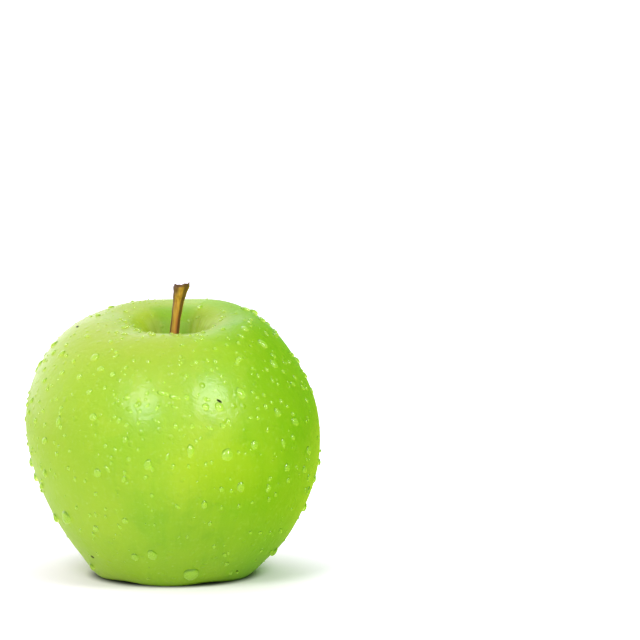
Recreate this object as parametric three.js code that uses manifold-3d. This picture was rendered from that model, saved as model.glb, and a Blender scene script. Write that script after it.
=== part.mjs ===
// A green apple with water drops on it, in three separate pieces: the fruit, the woody stem in the hollow at
// its top, and the dried calyx in the basin under it. The larger drops stand out of the fruit's skin.
//
// Millimetres, +Z up. The fruit rests on the plane z = 0, with the origin under the middle of its box.
// -Y is its front and +X its right-hand side. An angle is counted from +X, anticlockwise seen from above.
import * as THREE from "three";
import { mergeVertices } from "three/addons/utils/BufferGeometryUtils.js";
import Module from "manifold-3d";

const wasm = await Module();
wasm.setup();

const { sin, cos, PI, max, exp, hypot } = Math;
const { degToRad, clamp, lerp, smoothstep } = THREE.MathUtils;

// ---- Driving dimensions ---------------------------------------------------------------------------------

// The fruit's mean profile, before it is made lopsided: distance from the axis and height.
const HOLLOW_FLOOR = 52.5; // of the hollow that the stem stands in
const THROAT = { radius: 8.2, height: 62.5 }; // where the shoulder turns down into the hollow
const SHOULDER = { radius: 18, height: 66.9 }; // highest
const CHEEK = { radius: 38.1, height: 37.7 }; // widest
const HAUNCH = { radius: 25, height: 6.2 }; // where the cheek turns in towards the foot
const FOOT = { radius: 17.3, height: -0.55 }; // lowest, and pressed flat where it would fall below z = 0
const BASIN = { radius: 9.5, height: 5 }; // half-way up the wall of the calyx basin
const BASIN_FLOOR = 9;

// How the fruit differs from a turned shape. Angles are in degrees.
const LOBES = 5;
const LOBE_ANGLE = -97; // of the first lobe, at the front
const RIB_DEPTH = 0.35; // of the furrow down the cheek between two lobes
const CROWN_NOTCH = 0.5; // dip of the shoulder between two lobes
const FOOT_NOTCH = 0.85; // rise of the foot between two lobes
const FOLD_DEPTH = 0.45; // of the folds in the walls of the hollow and the basin
const LEAN_BACK = 0.16; // rise of the shoulder per mm towards the back
const BELLY_TILT = 0.063; // rise of the widest ring per mm towards the left
const FULL_RIGHT = 0.6; // how far the cheek stands further out on the right
const SWELLINGS = [
  { radius: 22, height: 66.9, reach: 11, angle: 50, up: 0.85, out: 0 }, // the shoulder, back right
  { radius: 36, height: 48, reach: 8, angle: 0, up: 0, out: 0.6 }, // the upper cheek, right
  { radius: 27, height: 8, reach: 9, angle: -10, up: 0, out: 0.9 }, // the haunch, right
  { radius: 13, height: 66.3, reach: 5, angle: -100, up: -0.45, out: 0 }, // a dip in the hollow's lip, front
];
const HOLLOW_SHIFT = 1.8; // of the hollow to the right
const FOOT_SHIFT = 0.75; // of the foot to the right
const CENTRING = new THREE.Vector3(-0.7, 0.1, 0); // brings the middle of the box over the origin

// The stem: its path's four control points. Its foot stands in a socket in the hollow's floor.
const STEM_PATH = new THREE.CubicBezierCurve3(
  new THREE.Vector3(-0.2, 0.6, 49.6),
  new THREE.Vector3(-0.4, 0.5, 58),
  new THREE.Vector3(0.8, 0.1, 68),
  new THREE.Vector3(2.4, -0.2, 75.4),
);
const STEM_RADII = [
  [0, 1.15],
  [0.06, 1.35],
  [0.3, 1.3],
  [0.6, 1.22],
  [0.8, 1.4],
  [0.9, 1.8],
  [0.97, 2.08],
  [1, 1.95],
]; // share of the stem's length, and its radius there
const STEM_TOP = { slope: 0.15, dish: 0.6 }; // its broken end: rise per mm to the right, and depth within
const STEM_SOCKET_DEPTH = 3.6;
const GAP = 0.3; // between a piece and its socket

// The calyx: a button with a peg in the basin's floor, five dried sepals and a tuft of stamens.
const BUTTON = { radius: 2.7, height: 1.1 };
const PEG = { radius: 1.3, length: 2.2 };
const SEPAL = { length: 5.6, width: 2.9, thickness: 0.7, root: 1.7 };
const SEPALS = 5;
const STAMEN = { length: 2.8, radius: 0.32, ring: 0.95 };
const STAMENS = 8;

// The drops of water on the front, placed by hand to half a millimetre. Seen from EYE, each hides the point
// [x, z] of the plane y = 0; then come its width and how much longer it is down the slope.
const EYE = new THREE.Vector3(-0.7, -794, 136);
const FRONT_DROPS = [
  [-27.5, 15, 3.5, 1.1],
  [4.5, 0, 3.8, 1],
  [14, 31, 3, 1.1],
  [17.5, 47, 2.4, 1.4],
  [12, 43.5, 2.1, 1.2],
  [8.5, 43.5, 1.9, 1],
  [-33, 35, 2, 1],
  [-33, 26.5, 2, 1],
  [-20, 12, 1.8, 1],
  [31.5, 39.5, 2.2, 1.1],
  [26, 54.5, 2.1, 1.2],
  [17.5, 22.5, 2, 1.4],
  [21, 33.5, 1.9, 1.3],
  [29.5, 27.5, 1.8, 1.2],
  [34, 27, 1.7, 1.2],
  [35, 32, 1.8, 1.2],
  [4.5, 32, 2.1, 1.5],
  [-6.5, 28.5, 2, 1.4],
  [-19.5, 26.5, 2, 1.2],
  [-5.5, 5, 2.4, 1.4],
  [-10, 4.5, 2, 1.1],
  [-12.5, 14, 1.6, 1],
  [-28.5, 57.5, 1.8, 1.2],
  [-20, 56.5, 2.2, 1.3],
  [-18.5, 53.5, 1.9, 1],
  [-24, 51.5, 1.6, 1],
  [-21.5, 47.5, 1.6, 1],
  [-20.5, 41, 2.1, 1],
  [-29.5, 40, 1.3, 2.4],
  [-21, 2, 2.1, 1],
];
const OTHER_DROPS = 36; // strewn over the sides and the back
const OTHER_WIDTHS = [1.6, 2.7];
const FRONT_EDGE = -15; // y in front of which none of these lies
const LOWEST_DROP = 3; // their least height
const DROP_CLEARANCE = 1.5; // least distance between two drops' middles, as a share of the width
const DROP_RISE = 0.34; // of a drop above the skin, as a share of its width
const DROP_SEED = 20;

// Fineness of the facets.
const FRUIT_SIDES = 65;
const SPAN_STEPS = [6, 4, 11, 9, 5, 4, 5]; // of the seven spans of the profile, from the hollow to the basin
const STEM_SIDES = 12;
const STEM_RINGS = 16;
const DROP_SIDES = 7;

// ---- Small tools ----------------------------------------------------------------------------------------

const point = (x, y) => new THREE.Vector2(x, y);
const smooth = (x) => smoothstep(x, 0, 1);

// A closed three.js geometry as a manifold-3d solid.
function solid(geometry) {
  const bare = geometry.clone().deleteAttribute("normal").deleteAttribute("uv");
  const merged = mergeVertices(bare, 1e-4);
  const corners = merged.index.array;
  const triangles = [];
  for (let i = 0; i < corners.length; i += 3) {
    const [a, b, c] = corners.slice(i, i + 3);
    if (a !== b && b !== c && c !== a) triangles.push(a, b, c); // a lathe's poles hold empty triangles
  }
  const vertProperties = merged.attributes.position.array;
  const triVerts = new Uint32Array(triangles);
  return new wasm.Manifold(new wasm.Mesh({ numProp: 3, vertProperties, triVerts }));
}

// A manifold-3d solid as a three.js geometry.
function geometryOf(made) {
  const { vertProperties, triVerts } = made.getMesh();
  const geometry = new THREE.BufferGeometry();
  geometry.setAttribute("position", new THREE.BufferAttribute(vertProperties, 3));
  geometry.setIndex(new THREE.BufferAttribute(triVerts, 1));
  geometry.computeVertexNormals();
  return geometry;
}

// A geometry with each vertex moved in place by change(vertex).
function reshaped(geometry, change) {
  const places = geometry.attributes.position;
  const vertex = new THREE.Vector3();
  for (let i = 0; i < places.count; i++) {
    change(vertex.fromBufferAttribute(places, i));
    places.setXYZ(i, ...vertex);
  }
  return geometry;
}

// A profile of points (distance from the axis, height), lowest first, turned round +Z.
function turned(points, sides) {
  return new THREE.LatheGeometry(points, sides).rotateX(PI / 2);
}

// An upright round bar from one height to another.
function bar(radius, from, to, sides) {
  const upright = new THREE.CylinderGeometry(radius, radius, to - from, sides).rotateX(PI / 2);
  return upright.translate(0, 0, (from + to) / 2);
}

// Even numbers from 0 to 1, the same on every run.
function seeded(seed) {
  let state = seed;
  return () => {
    state = (Math.imul(state, 1664525) + 1013904223) >>> 0;
    return state / 2 ** 32;
  };
}

// ---- The fruit ------------------------------------------------------------------------------------------

// One span of the profile, bent towards two control points.
function span(from, first, second, to) {
  return new THREE.CubicBezierCurve(from, point(...first), point(...second), to);
}

const throat = point(THROAT.radius, THROAT.height);
const shoulder = point(SHOULDER.radius, SHOULDER.height);
const cheek = point(CHEEK.radius, CHEEK.height);
const haunch = point(HAUNCH.radius, HAUNCH.height);
const foot = point(FOOT.radius, FOOT.height);
const basin = point(BASIN.radius, BASIN.height);
const top = point(0, HOLLOW_FLOOR);
const bottom = point(0, BASIN_FLOOR);

const HOLLOW_SPANS = [
  span(top, [3.6, top.y], [throat.x - 2.2, throat.y - 4.7], throat),
  span(throat, [throat.x + 1.5, throat.y + 3.2], [shoulder.x - 5.4, shoulder.y - 0.15], shoulder),
];
const OUTER_SPANS = [
  span(shoulder, [shoulder.x + 9, shoulder.y], [cheek.x, cheek.y + 13.9], cheek),
  span(cheek, [cheek.x, cheek.y - 12.8], [haunch.x + 6, haunch.y + 6.8], haunch),
  span(haunch, [haunch.x - 2.5, haunch.y - 2.8], [foot.x + 3.2, foot.y], foot),
];
const BASIN_SPANS = [
  span(foot, [13.5, foot.y], [12, 2.2], basin),
  span(basin, [7.2, 7.6], [4, bottom.y], bottom),
];

// 1 at a ring of the profile, and falling to nothing within about twice the reach.
function near(r, z, ring, reach) {
  return exp(-((r - ring.radius) ** 2 + (z - ring.height) ** 2) / reach ** 2);
}

// The fruit's own form: where the point of the mean profile at distance r and height z lies at an angle.
function grown(r, z, angle) {
  const rise = smooth(z / 60);
  const belly = sin(PI * clamp(z / 66, 0, 1));
  const between = (1 - cos(LOBES * (angle - degToRad(LOBE_ANGLE)))) / 2; // 0 on a lobe, 1 between two
  const crown = near(r, z, SHOULDER, 9);
  const sole = near(r, z, FOOT, 8);
  const walls = near(r, z, THROAT, 6) + near(r, z, BASIN, 4);
  const swollen = SWELLINGS.map((s) => near(r, z, s, s.reach) * max(0, cos(angle - degToRad(s.angle))) ** 2);
  const total = (way) => SWELLINGS.reduce((sum, swelling, i) => sum + swelling[way] * swollen[i], 0);
  const outward = (FULL_RIGHT * cos(angle) - RIB_DEPTH * between) * belly * (r / CHEEK.radius);
  const radius = r + outward + total("out") - FOLD_DEPTH * walls * (between - 0.5);
  const [x, y] = [radius * cos(angle), radius * sin(angle)];
  const lean = LEAN_BACK * rise * y - BELLY_TILT * belly * x;
  const notches = FOOT_NOTCH * sole * between - CROWN_NOTCH * crown * between;
  const shift = FOOT_SHIFT * (1 - rise) + HOLLOW_SHIFT * rise * exp(-((r / SHOULDER.radius) ** 2));
  return new THREE.Vector3(x + shift, y, max(0, z + lean + notches + total("up"))).add(CENTRING);
}

function fruitBody() {
  const spans = [...HOLLOW_SPANS, ...OUTER_SPANS, ...BASIN_SPANS];
  const profile = [...spans.flatMap((s, i) => s.getPoints(SPAN_STEPS[i]).slice(0, -1)), bottom];
  const body = turned(profile.reverse(), FRUIT_SIDES);
  return solid(reshaped(body, (p) => p.copy(grown(hypot(p.x, p.y), p.z, Math.atan2(p.y, p.x)))));
}

// ---- The drops of water ---------------------------------------------------------------------------------

// A place on the outer skin, with x across the slope, y down it and z out of it. The place on the profile is
// counted in spans from the shoulder down.
function skinFrame(spans, angle) {
  const at = (place, turn) => {
    const i = Math.min(Math.floor(place), OUTER_SPANS.length - 1);
    const { x, y } = OUTER_SPANS[i].getPoint(place - i);
    return grown(x, y, turn);
  };
  const place = at(spans, angle);
  const down = at(spans + 0.01, angle).sub(place).normalize();
  const across = at(spans, angle + 0.01).sub(place);
  const outward = new THREE.Vector3().crossVectors(down, across).normalize();
  const side = new THREE.Vector3().crossVectors(down, outward);
  return { place, outward, matrix: new THREE.Matrix4().makeBasis(side, down, outward).setPosition(place) };
}

// Frames all over the outer skin, for finding the one that the eye sees at a point.
const SKIN = [];
for (let spans = 0; spans < OUTER_SPANS.length; spans += 0.02) {
  for (let degrees = 0; degrees < 360; degrees += 2) SKIN.push(skinFrame(spans, degToRad(degrees)));
}

// The frame of the skin that hides the point (x, 0, z) from EYE.
function frameSeenAt(x, z) {
  const sight = new THREE.Vector3(x, 0, z).sub(EYE).normalize();
  const ray = new THREE.Ray(EYE, sight);
  const facing = SKIN.filter((frame) => frame.outward.dot(sight) < 0);
  return facing.reduce((a, b) => (ray.distanceSqToPoint(a.place) < ray.distanceSqToPoint(b.place) ? a : b));
}

// A drop as a round dome whose other half lies in the flesh.
function drop({ frame, width, stretch }) {
  const dome = new THREE.SphereGeometry(0.5, DROP_SIDES, 4).rotateX(PI / 2);
  return solid(dome.scale(width, width * stretch, 2 * DROP_RISE * width).applyMatrix4(frame.matrix));
}

// All the drops: those of the front, and the others strewn so that none stands on another.
function allDrops() {
  const random = seeded(DROP_SEED);
  const drops = FRONT_DROPS.map(([x, z, width, stretch]) => ({ frame: frameSeenAt(x, z), width, stretch }));
  while (drops.length < FRONT_DROPS.length + OTHER_DROPS) {
    const frame = skinFrame(2 * random(), 2 * PI * random());
    const made = { frame, width: lerp(...OTHER_WIDTHS, random()), stretch: 1 + 0.4 * random() };
    const { y, z } = frame.place;
    const apart = ({ frame: other }) => frame.place.distanceTo(other.place) > DROP_CLEARANCE * made.width;
    if (y > FRONT_EDGE && z > LOWEST_DROP && drops.every(apart)) drops.push(made);
  }
  return drops.map(drop);
}

// ---- The stem -------------------------------------------------------------------------------------------

// The stem's radius at a share of its length.
function stemRadius(share) {
  const next = max(1, STEM_RADII.findIndex(([at]) => at >= share));
  const [[from, thin], [to, thick]] = STEM_RADII.slice(next - 1, next + 1);
  return lerp(thin, thick, smooth((share - from) / (to - from)));
}

function stemSolid() {
  const shares = Array.from({ length: STEM_RINGS + 1 }, (_, i) => smooth(i / STEM_RINGS));
  const side = shares.map((share) => point(stemRadius(share), share));
  const stem = reshaped(turned([point(0, 0), ...side, point(0, 1)], STEM_SIDES), (p) => {
    const [share, angle, out] = [p.z, Math.atan2(p.y, p.x), hypot(p.x, p.y)];
    const ridged = 1 + 0.07 * cos(3 * angle + 4 * share) + 0.04 * cos(5 * angle);
    const end = share === 1 ? STEM_TOP.slope * p.x - (out < 0.1 ? STEM_TOP.dish : 0) : 0;
    p.set(p.x * ridged, p.y * ridged, end).add(STEM_PATH.getPoint(share));
  });
  return solid(stem);
}

// The upright socket that the stem's foot stands in.
function stemSocket() {
  const foot = STEM_PATH.getPoint(0);
  const radius = 1.12 * STEM_RADII[1][1] + GAP;
  return solid(bar(radius, -GAP, 2 * STEM_SOCKET_DEPTH, STEM_SIDES).translate(...foot));
}

// ---- The calyx ------------------------------------------------------------------------------------------

const CALYX_AXIS = grown(0, BASIN_FLOOR, 0); // the middle of the basin's floor

// One dried sepal: a pointed blade that hangs from the button, closes inwards and curls out at its tip.
function sepal(angle) {
  const { length, width, thickness, root } = SEPAL;
  const outline = new THREE.Shape();
  outline.moveTo(-width / 2, 0);
  outline.bezierCurveTo(-width * 0.6, length * 0.4, -width * 0.2, length * 0.75, 0, length);
  outline.bezierCurveTo(width * 0.2, length * 0.75, width * 0.6, length * 0.4, width / 2, 0);
  const sheet = { depth: thickness, bevelEnabled: false, curveSegments: 6 };
  const blade = new THREE.ExtrudeGeometry(outline, sheet);
  const bent = reshaped(blade, (p) => {
    const share = p.y / length;
    const out = root - 0.9 * sin(PI * share) + 1.6 * share ** 3 + 0.12 * p.x ** 2;
    p.set(out + thickness - p.z, p.x, -p.y * (1 - 0.25 * share) - 0.3);
  });
  return solid(bent.rotateZ(angle));
}

// One stamen, standing out of the button's ring and leaning outwards.
function stamen(i) {
  const length = STAMEN.length * (0.8 + 0.2 * sin(5 * i));
  const pin = bar(STAMEN.radius, -length, 0.4, 5).rotateY(0.2);
  return solid(pin.translate(STAMEN.ring, 0, -BUTTON.height).rotateZ((2 * PI * i) / STAMENS));
}

// The button with its peg, from its lowest point up.
function button() {
  const { radius, height } = BUTTON;
  const outline = [
    point(0, -height),
    point(radius * 0.8, -height),
    point(radius, -height * 0.45),
    point(PEG.radius, 0),
    point(PEG.radius, PEG.length),
    point(0, PEG.length),
  ];
  return solid(turned(outline, 20));
}

function calyxSolid() {
  const sepals = Array.from({ length: SEPALS }, (_, i) => sepal(degToRad(LOBE_ANGLE + (360 * i) / SEPALS)));
  const stamens = Array.from({ length: STAMENS }, (_, i) => stamen(i));
  const made = wasm.Manifold.union([button(), ...sepals, ...stamens]);
  return made.translate([CALYX_AXIS.x, CALYX_AXIS.y, CALYX_AXIS.z - GAP]);
}

// The hole that the calyx's peg stands in.
function calyxSocket() {
  const hole = bar(PEG.radius + GAP, -PEG.length, PEG.length, 16);
  return solid(hole.translate(...CALYX_AXIS));
}

// ---- The object -----------------------------------------------------------------------------------------

function fruitSolid() {
  const wet = wasm.Manifold.union([fruitBody(), ...allDrops()]);
  return wet.subtract(stemSocket()).subtract(calyxSocket());
}

// A named mesh of one solid in one finish.
function piece(name, made, finish) {
  const mesh = new THREE.Mesh(geometryOf(made), new THREE.MeshStandardMaterial(finish));
  mesh.name = name;
  return mesh;
}

const apple = new THREE.Group();
apple.add(
  piece("fruit", fruitSolid(), { color: 0x9fd033, roughness: 0.35, metalness: 0 }),
  piece("stem", stemSolid(), { color: 0x8a5f26, roughness: 0.75, metalness: 0 }),
  piece("calyx", calyxSolid(), { color: 0x5b4326, roughness: 0.9, metalness: 0 }),
);

export default apple;
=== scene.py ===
import math
import random

import bpy
import numpy as np
from bpy.props import FloatProperty, FloatVectorProperty, IntProperty, PointerProperty
from bpy.types import Operator, Panel, PropertyGroup
from mathutils import Matrix, Vector
from mathutils.bvhtree import BVHTree


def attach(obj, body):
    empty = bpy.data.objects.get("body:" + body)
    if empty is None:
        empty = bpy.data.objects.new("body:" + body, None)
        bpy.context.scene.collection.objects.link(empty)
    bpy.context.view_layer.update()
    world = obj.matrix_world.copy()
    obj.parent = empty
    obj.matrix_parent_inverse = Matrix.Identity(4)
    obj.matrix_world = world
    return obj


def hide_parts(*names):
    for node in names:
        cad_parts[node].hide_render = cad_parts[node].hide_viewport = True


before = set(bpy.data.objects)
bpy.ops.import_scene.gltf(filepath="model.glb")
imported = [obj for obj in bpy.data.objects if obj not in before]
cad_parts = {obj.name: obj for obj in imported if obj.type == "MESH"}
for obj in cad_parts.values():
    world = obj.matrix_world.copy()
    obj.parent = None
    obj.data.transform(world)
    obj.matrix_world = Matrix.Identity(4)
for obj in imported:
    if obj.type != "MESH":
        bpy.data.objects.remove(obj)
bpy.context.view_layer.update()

bl_info = {
    "name": "Green Apple",
    "version": (1, 0, 0),
    "blender": (4, 5, 0),
    "location": "View3D > Sidebar > Apple",
    "description": "Models a wet green apple with its stem and calyx, and a small studio round it",
    "category": "Add Mesh",
}


def srgb(red, green, blue):
    """A colour given as 8-bit display values, as the linear values that the shaders take."""
    def linear(value):
        share = value / 255
        return share / 12.92 if share <= 0.04045 else ((share + 0.055) / 1.055) ** 2.4
    return (linear(red), linear(green), linear(blue))


# ---- The fruit's form: metres, and degrees from +X --------------------------

HOLLOW_FLOOR = 0.0525
THROAT = (0.0082, 0.0625)  # distance from the core and height, as for the rings below
SHOULDER = (0.018, 0.0669)
CHEEK = (0.0381, 0.0377)
HAUNCH = (0.025, 0.0062)
FOOT = (0.0173, -0.00055)
BASIN = (0.0095, 0.005)
BASIN_FLOOR = 0.009

# The profile from the hollow down to the basin: each knot, and the handles before and after it as
# steps out and up from it.
PROFILE = (
    ((0.0, HOLLOW_FLOOR), (-0.0036, 0.0), (0.0036, 0.0)),
    (THROAT, (-0.0022, -0.0047), (0.0015, 0.0032)),
    (SHOULDER, (-0.0054, -0.00015), (0.009, 0.0)),
    (CHEEK, (0.0, 0.0139), (0.0, -0.0128)),
    (HAUNCH, (0.006, 0.0068), (-0.0025, -0.0028)),
    (FOOT, (0.0032, 0.0), (-0.0038, 0.0)),
    (BASIN, (0.0025, -0.0028), (-0.0023, 0.0026)),
    ((0.0, BASIN_FLOOR), (0.004, 0.0), (-0.004, 0.0)),
)
CORE_MIDDLE = 0.034  # height of the point that the skin's grain is measured round
SAME_PLACE = 1e-6  # points that are nearer to each other than this are one
LEAN_HEIGHT = 0.06  # up to which the fruit leans back more and more
BELLY_HEIGHT = 0.066  # up to which the cheek swells
CROWN_REACH = 0.009  # how far the shoulder's notches spread from its ring, and so on below
SOLE_REACH = 0.008
THROAT_REACH = 0.006
BASIN_REACH = 0.004
SWELLINGS = (  # distance from the core, height, reach, angle, rise and how far out
    (0.022, 0.0669, 0.011, 50, 0.00085, 0.0),
    (0.036, 0.048, 0.008, 0, 0.0, 0.0006),
    (0.027, 0.008, 0.009, -10, 0.0, 0.0009),
    (0.013, 0.0663, 0.005, -100, -0.00045, 0.0),
)
HOLLOW_SHIFT = 0.0018  # of the hollow towards +X, and of the foot below
FOOT_SHIFT = 0.00075
CENTRING = (-0.0007, 0.0001)  # of the whole fruit, along x and y

# Dark specks on the front, placed as the drops on it are: x and z, then the length, the height
# and the tilt in degrees.
SPECKS = (
    (-0.0245, 0.0645, 0.0012, 0.0006, 10),
    (0.012, 0.045, 0.0016, 0.0006, 30),
    (-0.021, 0.0045, 0.0012, 0.0007, 35),
    (0.0165, 0.0005, 0.0007, 0.0005, 0),
)

# ---- The stem ---------------------------------------------------------------

STEM_PATH = (
    (-0.0002, 0.0006, 0.0496),
    (-0.0004, 0.0005, 0.058),
    (0.0008, 0.0001, 0.068),
    (0.0024, -0.0002, 0.0754),
)
STEM_RADII = (  # share of the stem's length, and its radius there
    (0.0, 0.00115),
    (0.06, 0.00135),
    (0.3, 0.0013),
    (0.6, 0.00122),
    (0.8, 0.0014),
    (0.9, 0.0018),
    (0.97, 0.00208),
    (1.0, 0.00195),
)
STEM_END_RINGS = (0.8, 0.55, 0.25)  # of the closed end, as shares of its radius
STEM_SEED = 7
STEM_WAVES = 9  # round the stem, which make its ridges
STEM_END = 0.985  # share of the length from which the end is torn
TORN_HEIGHT = 0.00022  # of the splinters
TORN_DIP = 0.0009  # of the end's middle
TORN_SLANT = 0.15  # rise towards +X, per unit of length

# ---- The calyx --------------------------------------------------------------

CALYX_GAP = 0.0003  # between the button and the basin's floor
BUTTON = (0.0025, 0.0011)  # radius and height
SEPAL_LENGTH = 0.0056
SEPAL_WIDTH = 0.0034
SEPAL_ROOT = 0.0022  # distance from the calyx's middle
SEPAL_THICKNESS = 0.0003
SEPAL_CLOSING = 0.0014  # inwards, about half way down
SEPAL_CURL = 0.0013  # outwards, at the tip
SEPAL_TWIST = 0.0004
SEPAL_CUP = 150  # times the square of the distance from its middle line
STAMEN_RING = 0.00095
STAMEN_DEPTH = 0.6 * BUTTON[1]  # of its foot in the button
STAMEN_LENGTH = 0.0028
STAMEN_RADIUS = 0.00017
STAMEN_HEAD = 1.7  # times the thread's radius
STAMEN_STEPS = 5
STAMEN_LEAN = 0.00006  # more outwards at each step

# ---- The water --------------------------------------------------------------

# The larger drops on the front, given to half a millimetre. Seen from EYE, each hides
# the point (x, z) of the plane y = 0. Then come its width and how many times as long it is down
# the slope.
EYE = Vector((-0.0007, -0.794, 0.136))
FRONT_DROPS = (
    (-0.0275, 0.015, 0.0035, 1.1),
    (0.0045, 0.0, 0.0038, 1.0),
    (0.014, 0.031, 0.003, 1.1),
    (0.0175, 0.047, 0.0024, 1.4),
    (0.012, 0.0435, 0.0021, 1.2),
    (0.0085, 0.0435, 0.0019, 1.0),
    (-0.033, 0.035, 0.002, 1.0),
    (-0.033, 0.0265, 0.002, 1.0),
    (-0.02, 0.012, 0.0018, 1.0),
    (0.0315, 0.0395, 0.0022, 1.1),
    (0.026, 0.0545, 0.0021, 1.2),
    (0.0175, 0.0225, 0.002, 1.4),
    (0.021, 0.0335, 0.0019, 1.3),
    (0.0295, 0.0275, 0.0018, 1.2),
    (0.034, 0.027, 0.0017, 1.2),
    (0.035, 0.032, 0.0018, 1.2),
    (0.0045, 0.032, 0.0021, 1.5),
    (-0.0065, 0.0285, 0.002, 1.4),
    (-0.0195, 0.0265, 0.002, 1.2),
    (-0.0055, 0.005, 0.0024, 1.4),
    (-0.01, 0.0045, 0.002, 1.1),
    (-0.0125, 0.014, 0.0016, 1.0),
    (-0.0285, 0.0575, 0.0018, 1.2),
    (-0.02, 0.0565, 0.0022, 1.3),
    (-0.0185, 0.0535, 0.0019, 1.0),
    (-0.024, 0.0515, 0.0016, 1.0),
    (-0.0215, 0.0475, 0.0016, 1.0),
    (-0.0205, 0.041, 0.0021, 1.0),
    (-0.0295, 0.04, 0.0013, 2.4),
    (-0.021, 0.002, 0.0021, 1.0),
)
OTHER_WIDTHS = (0.0016, 0.0027)  # least and most, of the drops that are strewn
OTHER_STRETCH = 0.4  # most that they are drawn out down the slope, as a share of the width
FRONT_EDGE = -0.015  # y in front of which only the listed drops lie
LOWEST_DROP = 0.003  # height of its middle
DROP_CLEARANCE = 1.5  # least distance between two middles, as a share of the width

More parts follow.
